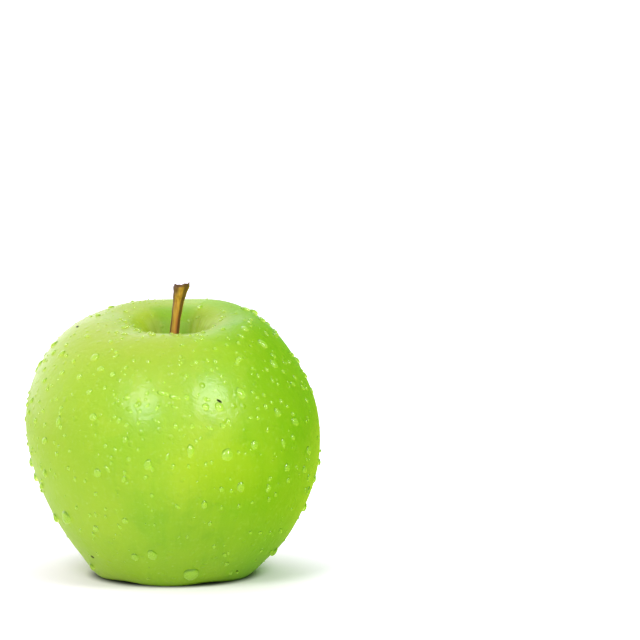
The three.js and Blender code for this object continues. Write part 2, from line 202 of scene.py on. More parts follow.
# Small drops of note, placed in the same way: two that have run together across the middle, and
# others that are drawn out or stand on the outline. The last number is the turn of the long way
# to the left of straight down, in degrees.
SMALL_DROPS = (
    (-0.0025, 0.047, 0.0013, 2.6, 74),
    (0.0005, 0.046, 0.0013, 2.5, 74),
    (0.0035, 0.046, 0.0014, 1.3, 0),
    (-0.0015, 0.044, 0.001, 1.0, 0),
    (0.0005, 0.0435, 0.0007, 3.0, 68),
    (0.0095, 0.038, 0.0008, 2.6, 60),
    (-0.0045, 0.04, 0.0007, 3.5, 64),
    (0.027, 0.042, 0.0017, 1.5, 25),
    (0.02, 0.0405, 0.0008, 2.4, 90),
    (0.0285, 0.034, 0.0012, 2.2, 0),
    (0.0335, 0.0485, 0.001, 2.0, 10),
    (0.0345, 0.052, 0.0012, 1.8, 15),
    (0.022, 0.0515, 0.001, 1.6, 0),
    (0.005, 0.0385, 0.0013, 1.2, 0),
    (0.006, 0.055, 0.0013, 1.2, 0),
    (0.0035, 0.0515, 0.0013, 1.0, 0),
    (-0.012, 0.046, 0.001, 1.8, 90),
    (-0.014, 0.0125, 0.0008, 2.4, 25),
    (0.008, 0.018, 0.0016, 1.5, 0),
    (0.0125, 0.022, 0.0014, 1.0, 0),
    (-0.031, 0.0605, 0.0015, 1.9, -40),
    (-0.034, 0.055, 0.0014, 1.8, -30),
    (-0.0315, 0.015, 0.0014, 1.4, 20),
    (-0.0095, 0.044, 0.001, 1.4, 50),
    (-0.007, 0.0455, 0.0009, 1.0, 0),
    (-0.0065, 0.044, 0.0008, 1.6, -40),
    (-0.0085, 0.0425, 0.0009, 1.2, 20),
    (-0.009, 0.0455, 0.0007, 1.8, 80),
    (-0.0285, 0.0525, 0.0014, 1.3, 0),
    (-0.0255, 0.0555, 0.0012, 1.0, 0),
    (-0.016, 0.0605, 0.0013, 1.3, 60),
    (-0.0125, 0.0625, 0.001, 1.8, 80),
    (-0.022, 0.062, 0.0014, 1.6, 70),
    (0.011, 0.0585, 0.0011, 1.2, 30),
    (0.0165, 0.0575, 0.001, 1.0, 0),
    (0.0235, 0.0465, 0.001, 1.3, 0),
    (0.0245, 0.0375, 0.0009, 1.8, -25),
    (0.0295, 0.0435, 0.001, 1.0, 0),
    (0.0085, 0.0285, 0.0011, 1.2, 0),
    (0.0, 0.028, 0.0011, 1.4, 0),
    (-0.0015, 0.0305, 0.001, 1.9, -15),
    (-0.0055, 0.0275, 0.0009, 2.2, 10),
    (-0.0115, 0.03, 0.0012, 1.3, 70),
    (-0.017, 0.0275, 0.001, 2.4, 40),
    (-0.025, 0.0175, 0.0011, 1.0, 0),
    (-0.02, 0.021, 0.0012, 1.0, 0),
    (0.0205, 0.0185, 0.001, 1.0, 0),
    (0.0265, 0.0205, 0.001, 1.3, 0),
    (-0.0155, 0.0585, 0.001, 1.0, 0),
    (-0.0175, 0.0485, 0.0011, 1.2, 0),
    (-0.015, 0.041, 0.001, 1.0, 0),
    (-0.012, 0.039, 0.0011, 1.1, 0),
    (-0.033, 0.039, 0.001, 1.5, 0),
    (-0.0145, 0.063, 0.0009, 1.2, 60),
    (-0.01, 0.0645, 0.0011, 1.2, 90),
    (-0.0085, 0.063, 0.0009, 1.8, 90),
    (-0.006, 0.0625, 0.0009, 1.2, 0),
    (-0.0025, 0.062, 0.0009, 1.0, 0),
    (-0.01, 0.0555, 0.0011, 1.1, 0),
    (0.006, 0.0605, 0.001, 1.2, 0),
    (0.0055, 0.058, 0.001, 1.0, 0),
    (0.0025, 0.0595, 0.001, 1.4, 70),
    (0.002, 0.0565, 0.0011, 1.0, 0),
    (0.009, 0.0555, 0.0011, 1.2, 0),
    (0.01, 0.053, 0.0011, 1.1, 0),
    (0.0115, 0.0535, 0.0009, 1.0, 0),
    (0.0125, 0.0515, 0.001, 1.3, 0),
    (0.017, 0.06, 0.0012, 1.1, 0),
    (0.014, 0.0595, 0.001, 1.2, 40),
    (-0.005, 0.048, 0.0011, 1.1, 0),
    (0.006, 0.0345, 0.0012, 1.1, 0),
    (0.0315, 0.051, 0.0011, 1.4, 0),
    (0.024, 0.0435, 0.0013, 1.2, 20),
    (0.022, 0.043, 0.0011, 1.1, 0),
    (0.031, 0.0415, 0.0013, 1.0, 0),
    (0.031, 0.0355, 0.0013, 1.2, 0),
    (-0.0175, 0.0335, 0.0011, 1.1, 0),
    (-0.015, 0.0325, 0.001, 1.3, 30),
    (-0.016, 0.0305, 0.001, 1.0, 0),
    (-0.016, 0.029, 0.001, 1.1, 0),
    (-0.03, 0.0315, 0.0011, 1.2, 0),
    (-0.009, 0.0325, 0.001, 1.1, 0),
    (-0.0125, 0.0265, 0.001, 1.2, 0),
    (-0.0215, 0.0155, 0.001, 1.0, 0),
    (-0.0175, 0.017, 0.0009, 1.0, 0),
    (-0.0175, 0.015, 0.0009, 1.2, 0),
    (-0.024, 0.0115, 0.001, 1.0, 0),
    (-0.0055, 0.0205, 0.0011, 1.1, 0),
    (0.004, 0.028, 0.001, 1.2, 0),
    (0.017, 0.0315, 0.001, 1.1, 0),
    (0.01, 0.029, 0.001, 1.2, 0),
    (0.015, 0.0215, 0.001, 1.1, 0),
    (0.001, 0.0175, 0.001, 1.8, 45),
    (0.017, 0.0175, 0.001, 1.1, 0),
    (0.0095, 0.013, 0.0011, 1.2, 0),
    (0.0225, 0.0105, 0.0011, 1.0, 0),
    (0.0105, 0.007, 0.0011, 1.1, 0),
)
DROPLET_WIDTHS = (0.00035, 0.0014)  # least and most
DROPLET_SKEW = 1.8  # the greater, the more of the droplets are narrow
DROPLET_STRETCH = (0.9, 1.6)  # least and most, as for the large drops
DROPLET_TURN = 50  # degrees to either side of straight down, at most
DROPLET_GAP = 0.65  # least distance between two middles, as a share of both widths
DROPLET_RISE = 0.8  # twice its height above the skin, as a share of its width
LOWEST_DROPLET = 0.002
THINNING_HEIGHT = 0.02  # below it only FOOT_SHARE of the droplets are kept
THINNING_REACH = 0.04  # from there up to where all are kept
FOOT_SHARE = 0.4
OUTSIDE = 0.1  # from the core to well outside the skin
OUTLINE_WAVES = ((2, 0.07), (3, 0.05), (5, 0.03))  # round a drop, and their share of its width
SAG = 0.3  # of a drop's top down the slope, as a share of its height

# ---- The studio -------------------------------------------------------------

CAMERA_PLACE = (-0.0007, -0.7937, 0.1357)
CAMERA_AIM = (0.0381, 0.0, 0.06595)
CAMERA_LENS = 173.5  # millimetres, as the sensor's width
CAMERA_SENSOR = 36
SOFTBOXES = (  # azimuth to the right of the front and elevation in degrees, share of the power
    ("left_softbox", -26, 45.5, 1.0),
    ("right_softbox", 43, 46, 1.15),
)
SOFTBOX_DISTANCE = 1.0  # from the middle of the fruit's core
SOFTBOX_WIDTH = 0.36
FLOOR_SIDE = 8.0
FLOOR_PAINT = ((0.95, 0.87, 0.99), (0.97, 0.89, 1.0))
FLOOR_BOUNCE = ((0.9, 0.96, 0.64), (0.8, 0.94, 0.08))  # given back on the left, and on the right
FLOOR_GLOW = (1, 0.92, 1.2)  # of its own, further out; it fades out towards the fruit, as painted shade round it
PAINTED_CONTACT_SHADOW = srgb(30, 44, 10)  # painted contact shadow, where the fruit touches it


# ---- What a user may change -------------------------------------------------

def count_setting(name, description, default, least, most):
    """A whole number that a user may change."""
    return IntProperty(name=name, description=description, default=default, min=least, max=most)


def length_setting(name, description, default):
    """A length in metres that a user may change."""
    return FloatProperty(
        name=name, description=description, default=default,
        precision=5, subtype="DISTANCE", unit="LENGTH",
    )


def colour_setting(name, description, default):
    """A colour that a user may change."""
    return FloatVectorProperty(
        name=name, description=description, default=default, size=3, min=0, max=1, subtype="COLOR",
    )


class FormSettings(PropertyGroup):
    """The fruit's form."""
    sides: count_setting("Sides", "Faces round the fruit", 260, 60, 480)
    steps: count_setting("Steps", "Faces along each span of the profile", 22, 8, 64)
    lobes: count_setting("Lobes", "Ribs and basal lobes of the fruit", 5, 3, 7)
    lobe_angle: FloatProperty(
        name="First Lobe", description="Direction of the front lobe from +X",
        default=math.radians(-97), subtype="ANGLE", unit="ROTATION",
    )
    rib_depth: length_setting(
        "Rib Depth", "Depth of the furrow down the cheek between two lobes", 0.00035,
    )
    crown_notch: length_setting("Crown Notch", "Dip of the shoulder between two lobes", 0.0005)
    foot_notch: length_setting("Foot Notch", "Rise of the foot between two lobes", 0.00085)
    fold_depth: length_setting(
        "Fold Depth", "Depth of the folds in the walls of the hollow and the basin", 0.00045,
    )
    lean_back: FloatProperty(
        name="Lean Back", default=0.16,
        description="Rise of the shoulder towards the back, per unit of length",
    )
    belly_tilt: FloatProperty(
        name="Belly Tilt", default=0.063,
        description="Rise of the widest ring towards the left, per unit of length",
    )
    full_right: length_setting(
        "Full Right", "How far the cheek stands further out on the right", 0.0006,
    )


class SkinSettings(PropertyGroup):
    """The finish of the skin."""
    green: colour_setting("Green", "Main colour of the skin", srgb(140, 182, 26))
    # Also painted light on the left and on the hollow's right wall.
    yellow: colour_setting("Yellow Green", "Colour of the riper patches", srgb(163, 190, 38))
    # Also painted shade on the right side and deep in the hollow.
    deep: colour_setting(
        "Deep Green", "Colour of the hollow and the greener patches", srgb(106, 162, 8),
    )
    # Painted sheen on the upper left and round the hollow's lip.
    pale: colour_setting("Pale", "Colour of the skin round the hollow's lip", srgb(160, 178, 46))
    lenticel: colour_setting(
        "Lenticel", "Colour of the small pale dots and of the hollow's rays", srgb(206, 226, 132),
    )
    russet: colour_setting(
        "Russet", "Colour of the corky skin round the stem and the calyx", srgb(128, 110, 52),
    )
    speck: colour_setting("Speck", "Colour of the few dark specks", srgb(40, 42, 12))


class StemSettings(PropertyGroup):
    """The stem."""
    sides: count_setting("Sides", "Faces round the stem", 48, 12, 96)
    rings: count_setting("Rings", "Faces along the stem", 90, 16, 200)
    ridge: FloatProperty(
        name="Ridges", description="Height of the ridges along the stem, as a share of its radius",
        default=0.07, subtype="FACTOR",
    )
    bark: colour_setting("Bark", "Main colour of the bark", srgb(206, 160, 54))
    bark_dark: colour_setting(
        "Dark Bark", "Colour of the bark's darker streaks", srgb(158, 108, 30),
    )
    bark_red: colour_setting(
        "Red Bark", "Colour of the bark's reddish blotches", srgb(184, 98, 54),
    )
    # Painted shade in the grooves, and the dark of the broken end and of the band below the flare.
    groove: colour_setting(
        "Groove", "Colour of the grooves along the stem and of its broken end", srgb(84, 52, 20),
    )


class CalyxSettings(PropertyGroup):
    """The dried calyx."""
    stamens: count_setting("Stamens", "Withered threads in the calyx", 8, 0, 30)
    tissue: colour_setting("Tissue", "Main colour of the dried sepals", srgb(118, 88, 54))
    shadow: colour_setting("Dark Tissue", "Colour of the darker blotches", srgb(62, 40, 24))
    fuzz: colour_setting("Fuzz", "Colour of the pale fuzz", srgb(168, 148, 110))


class WaterSettings(PropertyGroup):
    """The drops of water."""
    others: count_setting("Other Drops", "Large drops on the sides and the back", 36, 0, 80)
    droplets: count_setting("Droplets", "Small droplets all over the skin", 950, 0, 2000)
    seed: IntProperty(name="Seed", description="Start of the random draw of the drops", default=20)
    rise: FloatProperty(
        name="Rise", description="Height of a drop above the skin, as a share of its width",
        default=0.34, subtype="FACTOR",
    )
    # Partly the water's tint and partly painted light, which brightens each drop over the skin.
    clear: colour_setting("Clear", "Colour of the water over the skin", srgb(208, 238, 112))
    # Painted light: a caustic low in each drop.
    bright: colour_setting(
        "Bright", "Colour low in a drop, where the light gathers", srgb(253, 255, 170),
    )
    # Painted shade along each drop's upper edge.
    dark: colour_setting("Dark", "Colour along a drop's upper edge", srgb(108, 152, 34))


class StudioSettings(PropertyGroup):
    """The floor and the light."""
    softbox_power: FloatProperty(
        name="Softboxes", description="Power of the left softbox in watts", default=3.8,
    )
    surroundings: FloatProperty(
        name="Surroundings", description="Brightness of the white studio", default=0.95,
    )
    behind: FloatProperty(
        name="Behind", description="Brightness of the studio behind the apple", default=1.65,
    )
    dark_colour: colour_setting(
        "Right Side", "Colour of the light that comes back from the right", (0.15, 0.39, 0.02),
    )


class AppleSettings(PropertyGroup):
    """All the settings of the apple."""
    form: PointerProperty(type=FormSettings)
    skin: PointerProperty(type=SkinSettings)
    stem: PointerProperty(type=StemSettings)
    calyx: PointerProperty(type=CalyxSettings)
    water: PointerProperty(type=WaterSettings)
    studio: PointerProperty(type=StudioSettings)


# ---- Small tools ------------------------------------------------------------

def smooth(x):
    """0 below 0, 1 above 1 and a soft step between, for a number or an array."""
    held = np.clip(x, 0, 1)
    return held * held * (3 - 2 * held)


def near(r, z, ring, reach):
    """1 at a ring of the profile, and falling to nothing within about twice the reach."""
    return np.exp(-((r - ring[0]) ** 2 + (z - ring[1]) ** 2) / reach**2)


def bezier(knots, t):
    """The point of a cubic curve of four control points."""
    s = 1 - t
    weights = (s**3, 3 * s * s * t, 3 * s * t * t, t**3)
    return [sum(w * knot[i] for w, knot in zip(weights, knots)) for i in range(len(knots[0]))]


def start_clean():
    """Object mode with nothing selected."""
    if bpy.context.object and bpy.context.object.mode != "OBJECT":
        bpy.ops.object.mode_set(mode="OBJECT")
    bpy.ops.object.select_all(action="DESELECT")


def edit_all():
    """Edit mode with the whole mesh selected."""
    bpy.ops.object.mode_set(mode="EDIT")
    bpy.ops.mesh.select_all(action="SELECT")


def leave_outward():
    """Turns every face of the mesh outwards, and leaves edit mode."""
    bpy.ops.mesh.select_all(action="SELECT")
    bpy.ops.mesh.normals_make_consistent(inside=False)
    bpy.ops.object.mode_set(mode="OBJECT")


def extrude(x, y, z):
    """Extrudes the selected face, edges or points by a vector."""
    bpy.ops.mesh.extrude_region_move(TRANSFORM_OT_translate={"value": (x, y, z)})


def named(piece, name):
    """The piece, with its object and its mesh under one name."""
    piece.name = name
    piece.data.name = name
    return piece


def joined(pieces, name):
    """Several objects as one piece."""
    start_clean()
    for each in pieces:
        each.select_set(True)
    bpy.context.view_layer.objects.active = pieces[0]
    bpy.ops.object.join()
    return named(pieces[0], name)


def vertices(mesh):
    """The mesh's vertices as an array."""
    places = np.empty(len(mesh.vertices) * 3)
    mesh.vertices.foreach_get("co", places)
    return places.reshape(-1, 3)


def move_vertices(mesh, places):
    """Puts the mesh's vertices at the places of an array."""
    mesh.vertices.foreach_set("co", np.ascontiguousarray(places, dtype=np.float32).ravel())
    mesh.update()


def store(mesh, name, values):
    """Keeps a vector for each vertex as an attribute that a material can read."""
    layer = mesh.attributes.new(name, "FLOAT_VECTOR", "POINT")
    layer.data.foreach_set("vector", np.ascontiguousarray(values, dtype=np.float32).ravel())


def surface_tree(piece):
    """The piece's surface, for finding places on it."""
    return BVHTree.FromObject(piece, bpy.context.evaluated_depsgraph_get())


class Nodes:
    """A tree of shader nodes that is put together a node at a time."""

    def __init__(self, tree):
        self.tree = tree

    def node(self, kind, **settings):
        made = self.tree.nodes.new("ShaderNode" + kind)
        for key, value in settings.items():
            setattr(made, key, value)
        return made

    def put(self, socket, value):
        """A link where the value is another node's socket, and else the value itself."""
        if isinstance(value, bpy.types.NodeSocket):
            self.tree.links.new(value, socket)
        elif socket.type == "RGBA":
            socket.default_value = (*value, 1)
        else:
            socket.default_value = value

    def filled(self, node, values):
        """The node, with a value or a link in each input that the values name."""
        for key, value in values.items():
            self.put(node.inputs[key], value)
        return node

    def attribute(self, name):
        return self.node("Attribute", attribute_name=name).outputs["Vector"]

    def part(self, vector, axis):
        return self.filled(self.node("SeparateXYZ"), {0: vector}).outputs[axis]

    def parts(self, vector):
        return [self.part(vector, axis) for axis in range(3)]

    def length(self, vector):
        made = self.filled(self.node("VectorMath", operation="LENGTH"), {0: vector})
        return made.outputs["Value"]

    def stretched(self, vector, scale):
        return self.filled(self.node("Mapping"), {"Vector": vector, "Scale": scale}).outputs[0]

    def noise(self, vector, scale, detail=4.0, roughness=0.5, distortion=0.0):
        made = self.filled(self.node("TexNoise"), {
            "Vector": vector, "Scale": scale, "Detail": detail,
            "Roughness": roughness, "Distortion": distortion,
        })
        return made.outputs["Fac"]

    def ramp(self, value, between, to=(0.0, 1.0)):
        """The value taken smoothly from between two numbers to between two others."""
        made = self.filled(self.node("MapRange", interpolation_type="SMOOTHSTEP"), {
            "Value": value, "From Min": between[0], "From Max": between[1],
            "To Min": to[0], "To Max": to[1],
        })
        return made.outputs["Result"]

    def math(self, operation, first, second):
        return self.filled(self.node("Math", operation=operation), {0: first, 1: second}).outputs[0]

    def times(self, first, second):
        return self.math("MULTIPLY", first, second)

    def plus(self, first, second):
        return self.math("ADD", first, second)

    def minus(self, first, second):
        return self.math("SUBTRACT", first, second)

    def larger(self, first, second):
        return self.math("MAXIMUM", first, second)

    def blend(self, factor, first, second):
        """A mix of two colours, which the node takes at its inputs 6 and 7."""
        made = self.node("Mix", data_type="RGBA")
        return self.filled(made, {"Factor": factor, 6: first, 7: second}).outputs[2]

    def layered(self, colour, layers):
        """A colour with others laid over it in turn, each given after how much of it shows."""
        for share, over in layers:
            colour = self.blend(share, colour, over)
        return colour

    def bumps(self, layers):
        """A normal for bumps laid over each other: the height, strength and depth of each."""
        normal = None
        for height, strength, depth in layers:
            made = self.filled(self.node("Bump"), {
                "Height": height, "Strength": strength, "Distance": depth,
            })
            if normal is not None:
                self.put(made.inputs["Normal"], normal)
            normal = made.outputs["Normal"]
        return normal


class Shader(Nodes):
    """A node material, with its surface shader and the object's coordinates."""

    def __init__(self, name):
        self.material = bpy.data.materials.new(name)
        self.material.use_nodes = True
        super().__init__(self.material.node_tree)
        self.surface = self.tree.nodes["Principled BSDF"]
        self.coords = self.node("TexCoord").outputs["Object"]

    def scattered(self, scale, edge, chosen, axis=0):
        """Round dots in some cells of a pattern.

        The edge is where a dot fades out, and a cell's own draw has to pass the chosen numbers.
        """
        made = self.filled(self.node("TexVoronoi"), {"Vector": self.coords, "Scale": scale})
        drawn = self.ramp(self.part(made.outputs["Color"], axis), chosen)
        return self.times(self.ramp(made.outputs["Distance"], edge, (1, 0)), drawn)

    def finished(self, values):
        """The material, with a value or a link in each input of its surface that is named."""
        self.filled(self.surface, values)
        return self.material


# ---- The skin ---------------------------------------------------------------

def profile_knots():
    """The profile's knots in order, each with the places of its two handles."""
    return [
        [(r + out, z + up) for out, up in ((0.0, 0.0), before, after)]
        for (r, z), before, after in PROFILE
    ]


def grown(form, r, z, angle):
    """The fruit's own form: where points of the mean profile, r out and z high, lie at an angle."""
    rise = smooth(z / LEAN_HEIGHT)
    belly = np.sin(math.pi * np.clip(z / BELLY_HEIGHT, 0, 1))
    between = (1 - np.cos(form.lobes * (angle - form.lobe_angle))) / 2
    crown = near(r, z, SHOULDER, CROWN_REACH)
    sole = near(r, z, FOOT, SOLE_REACH)
    walls = near(r, z, THROAT, THROAT_REACH) + near(r, z, BASIN, BASIN_REACH)
    up = out = 0.0
    for ring_r, ring_z, reach, degrees, rises, juts in SWELLINGS:
        facing = np.clip(np.cos(angle - math.radians(degrees)), 0, 1) ** 2
        swollen = near(r, z, (ring_r, ring_z), reach) * facing
        up = up + rises * swollen
        out = out + juts * swollen
    outward = (form.full_right * np.cos(angle) - form.rib_depth * between) * belly * (r / CHEEK[0])
    radius = r + outward + out - form.fold_depth * walls * (between - 0.5)
    x, y = radius * np.cos(angle), radius * np.sin(angle)
    lean = form.lean_back * rise * y - form.belly_tilt * belly * x
    notches = form.foot_notch * sole * between - form.crown_notch * crown * between
    shift = FOOT_SHIFT * (1 - rise) + HOLLOW_SHIFT * rise * np.exp(-((r / SHOULDER[0]) ** 2))
    height = np.maximum(z + lean + notches + up, 0)
    return np.stack([x + shift + CENTRING[0], y + CENTRING[1] + 0 * height, height], -1)


def profile_line(steps):
    """The profile as a curve object, made a mesh of edges."""
    start_clean()
    bpy.ops.curve.primitive_bezier_curve_add(location=(0, 0, 0))
    line = bpy.context.object
    bpy.ops.object.mode_set(mode="EDIT")
    bpy.ops.curve.select_all(action="SELECT")
    bpy.ops.curve.subdivide(number_cuts=len(PROFILE) - 2)
    bpy.ops.object.mode_set(mode="OBJECT")
    spline = line.data.splines[0]
    for knot, (place, before, after) in zip(spline.bezier_points, profile_knots()):
        knot.handle_left_type = knot.handle_right_type = "FREE"
        knot.co = (place[0], 0, place[1])
        knot.handle_left = (before[0], 0, before[1])
        knot.handle_right = (after[0], 0, after[1])
    line.data.dimensions = "3D"
    line.data.resolution_u = steps
    bpy.ops.object.convert(target="MESH")
    return bpy.context.object


class APPLE_OT_skin(Operator):
    """Models the fruit: spins its profile, grows it lopsided and gives it its skin"""
    bl_idname = "green_apple.skin"
    bl_label = "Skin"

    def execute(self, context):
        settings = context.scene.green_apple
        fruit = profile_line(settings.form.steps)
        edit_all()
        bpy.ops.mesh.spin(
            steps=settings.form.sides, angle=math.tau, center=(0, 0, 0), axis=(0, 0, 1),
        )
        bpy.ops.mesh.select_all(action="SELECT")
        bpy.ops.mesh.remove_doubles(threshold=SAME_PLACE)
        leave_outward()
        turned = vertices(fruit.data)
        r, z = np.hypot(turned[:, 0], turned[:, 1]), turned[:, 2]
        angle = np.arctan2(turned[:, 1], turned[:, 0])
        move_vertices(fruit.data, grown(settings.form, r, z, angle))
        slope = np.arctan2(r, z - CORE_MIDDLE) / math.pi
        in_hollow = (r < SHOULDER[0]) * (z > CORE_MIDDLE)
        depth = in_hollow * (SHOULDER[1] - z) / (SHOULDER[1] - HOLLOW_FLOOR)
        pit = (r < FOOT[0]) * (z < CORE_MIDDLE) * (z - FOOT[1]) / (BASIN_FLOOR - FOOT[1])
        store(fruit.data, "grain", np.stack([np.cos(angle), np.sin(angle), slope], -1))
        store(fruit.data, "hollows", np.stack([depth, pit, 0 * r], -1))
        bpy.ops.object.shade_smooth()
        named(fruit, "skin")
        skin_tree = surface_tree(fruit)
        specks = [(seen_at(skin_tree, x, z)[0], *size) for x, z, *size in SPECKS]
        fruit.data.materials.append(skin_material(settings.skin, specks))
        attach(fruit, "root")
        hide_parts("fruit")
        return {"FINISHED"}


class SkinShader(Shader):
    """The skin's material, with the directions and depths on the fruit that its finish follows."""

    def __init__(self, colours):
        super().__init__("apple skin")
        self.colours = colours
        self.grain = self.attribute("grain")
        self.right, self.back, self.slope = self.parts(self.grain)
        self.depth, self.pit, _ = self.parts(self.attribute("hollows"))

    def grained(self, across, along, **pattern):
        """Noise drawn out along the grain, which runs from the stem to the calyx."""
        return self.noise(self.stretched(self.grain, (across, across, along)), **pattern)

    def greens(self):
        """Patches and streaks of green: deeper on the right, painted shade over some of the fruit's
        own deeper green; yellower on the left, painted light over some of its riper tone; and a
        painted pale sheen on the upper left and round the lip.
        """
        patches = self.noise(self.coords, scale=26, detail=3, roughness=0.5, distortion=0.4)
        mottling = self.noise(self.coords, scale=120, detail=4, roughness=0.55, distortion=0.6)
        greener = self.noise(self.coords, scale=18, detail=2)
        streaks = self.grained(across=9, along=1.6, scale=3.2, detail=5, roughness=0.62)
        steep = self.ramp(self.slope, (0.25, 0.5), (0.75, 1))
        left = self.ramp(self.right, (-0.1, 0.6), (1, 0))
        lip = self.ramp(self.slope, (0.11, 0.15), (0.85, 0))
        upper = self.ramp(self.slope, (0.17, 0.34), (0.8, 0))
        yellow, deep, pale = self.colours.yellow, self.colours.deep, self.colours.pale
        plain = self.blend(self.ramp(patches, (0.36, 0.66)), self.colours.green, yellow)
        return self.layered(plain, (
            (self.ramp(mottling, (0.52, 0.7), (0, 0.5)), yellow),
            (self.ramp(mottling, (0.3, 0.48), (0.28, 0)), deep),
            (self.ramp(greener, (0.5, 0.75), (0, 0.45)), deep),
            (self.ramp(streaks, (0.45, 0.75), (0, 0.3)), yellow),
            (self.ramp(streaks, (0.25, 0.46), (0.22, 0)), deep),
            # Painted shade, partly the fruit's own deeper green: deeper on the steep right side.
            (self.times(self.ramp(self.right, (0.35, 1.0), (0, 0.75)), steep), deep),
            # Painted light, partly the fruit's own riper tone: yellower on the left.
            (self.ramp(self.right, (-0.95, 0.0), (0.75, 0)), yellow),
            # Painted sheen: pale on the upper left and round the hollow's lip.
            (self.times(self.larger(left, lip), upper), pale),
        ))

    def dots(self, colour):
        """The colour with a fine pale bloom and scattered lenticels over it."""
        bloom = self.noise(self.coords, scale=900, detail=3, roughness=0.6)
        lenticels = self.scattered(scale=330, edge=(0.07, 0.13), chosen=(0.45, 0.5))
        return self.layered(colour, (
            (self.ramp(bloom, (0.5, 0.8), (0, 0.14)), self.colours.lenticel),
            (self.times(lenticels, 0.22), self.colours.lenticel),
        ))

    def hollow(self, colour):
        """The colour with the hollow's painted shade deep down, painted light on its right wall,
        its greener back wall and its rayed side walls laid over it.
        """
        right_wall = self.ramp(self.right, (-0.2, 0.8))
        back_wall = self.ramp(self.back, (0.8, 0.97))
        side_walls = self.times(self.minus(1.0, back_wall), self.ramp(self.depth, (0.08, 0.25)))
        rays = self.grained(across=4, along=1, scale=1.5, detail=2)
        shaded = self.ramp(right_wall, (0, 1), (1, 0.3))
        yellow, deep, pale = self.colours.yellow, self.colours.deep, self.colours.lenticel
        return self.layered(colour, (
            # Painted shade deep in the hollow, less of it on the right wall.
            (self.times(self.ramp(self.depth, (0.25, 0.8), (0, 0.85)), shaded), deep),
            # Painted light on the hollow's right wall.
            (self.times(self.ramp(self.depth, (0.05, 0.3), (0, 0.5)), right_wall), yellow),
            (self.times(self.ramp(self.depth, (0.005, 0.06), (0, 0.6)), back_wall), deep),
            (self.times(self.ramp(rays, (0.38, 0.6), (0, 0.32)), side_walls), pale),
        ))

    def russet(self):
        """How much of the skin is corky: round the stem, and round the calyx."""
        net = self.grained(across=14, along=5, scale=4, detail=6, roughness=0.7, distortion=1.2)
        above = self.times(self.ramp(self.depth, (0.72, 1.0)), self.ramp(net, (0.42, 0.56)))
        below = self.times(self.ramp(self.pit, (0.55, 1.0)), self.ramp(net, (0.36, 0.56)))
        return above, below

    def speck(self, place, length, height, tilt):
        """1 within an ellipse across the view from the front, and 0 outside it."""
        mapping = self.filled(self.node("Mapping", vector_type="TEXTURE"), {
            "Vector": self.coords,
            "Location": place,
            "Rotation": (0, math.radians(tilt), 0),
            "Scale": (length / 2, length, height / 2),
        })
        return self.ramp(self.length(mapping.outputs[0]), (0.75, 1.1), (1, 0))

    def relief(self):
        """Swells and fine peel in the skin, and the film and beads of water that wet it."""
        swells = self.noise(self.coords, scale=70, detail=3)
        peel = self.noise(self.coords, scale=700, detail=3, roughness=0.6)
        film = self.noise(self.coords, scale=320, detail=4, roughness=0.6, distortion=0.8)
        beads = self.scattered(scale=380, edge=(0.1, 0.34), chosen=(0.5, 0.6))
        return self.bumps((
            (swells, 0.35, 0.0006),
            (peel, 0.12, 0.00012),
            (film, 0.4, 0.0004),
            (beads, 0.5, 0.0002),
        ))


def skin_material(colours, specks):
    """Waxy, wet green skin, with a rayed hollow, russet at both ends and a few dark specks."""
    s = SkinShader(colours)
    above, below = s.russet()
    tiny_specks = s.scattered(scale=62, edge=(0.018, 0.03), chosen=(0.72, 0.74), axis=1)
    colour = s.layered(s.hollow(s.dots(s.greens())), (
        (s.times(above, 0.8), colours.russet),
        (s.times(below, 0.8), colours.russet),
        (s.times(tiny_specks, 0.85), colours.speck),
    ))
    flawless = 1.0
    for speck in specks:
        flawless = s.times(flawless, s.minus(1.0, s.speck(*speck)))
    rough = s.ramp(s.noise(s.coords, scale=60, detail=4), (0.3, 0.7), (0.36, 0.44))
    rough = s.plus(rough, s.times(below, 0.25))
    rough = s.plus(rough, s.ramp(s.depth, (0.15, 0.6), (0, 0.3)))
    duller = s.times(s.ramp(s.right, (0.2, 0.7)), s.ramp(s.slope, (0.22, 0.15)))
    coat = s.times(s.ramp(s.depth, (0, 0.2), (0.35, 0.02)), s.ramp(duller, (0, 1), (1, 0.2)))
    wetted = s.relief()
    return s.finished({
        "Base Color": s.blend(flawless, colours.speck, colour),
        "Roughness": s.larger(rough, s.minus(0.95, flawless)),
        "Specular IOR Level": 0.3,
        "Normal": wetted,
        "Subsurface Weight": s.times(flawless, 0.35),
        "Subsurface Radius": (0.6, 1.0, 0.2),
        "Subsurface Scale": 0.004,
        "Coat Weight": s.times(flawless, coat),
        "Coat Roughness": 0.19,
        "Coat Normal": wetted,
    })


# ---- The stem ---------------------------------------------------------------

def stem_radius(share):
    """The stem's radius at a share of its length."""
    for (start, thin), (end, thick) in zip(STEM_RADII, STEM_RADII[1:]):
        if share <= end:
            return thin + (thick - thin) * float(smooth((share - start) / (end - start)))
    return STEM_RADII[-1][1]


def tube(sides, rings):
    """An upright tube of radius 1 and length 1, closed at both ends, drawn up from a circle."""
    start_clean()
    bpy.ops.mesh.primitive_circle_add(
        vertices=sides, radius=1, fill_type="NGON", location=(0, 0, 0),
    )
    made = bpy.context.object
    edit_all()
    for _ in range(rings):
        extrude(0, 0, 1 / rings)
    for size in STEM_END_RINGS:
        extrude(0, 0, 0)
        bpy.ops.transform.resize(value=(size, size, 1), center_override=(0, 0, 1))
    leave_outward()
    return made


def torn_end(angle, out, x):
    """How far the stem's broken end stands up or dips: x across it, and out from its middle."""
    torn = math.cos(2 * angle + 0.6) + 0.6 * math.cos(5 * angle) + 0.4 * math.cos(9 * angle + 2)
    return TORN_HEIGHT * torn * out + TORN_SLANT * x - TORN_DIP * (1 - out**2)


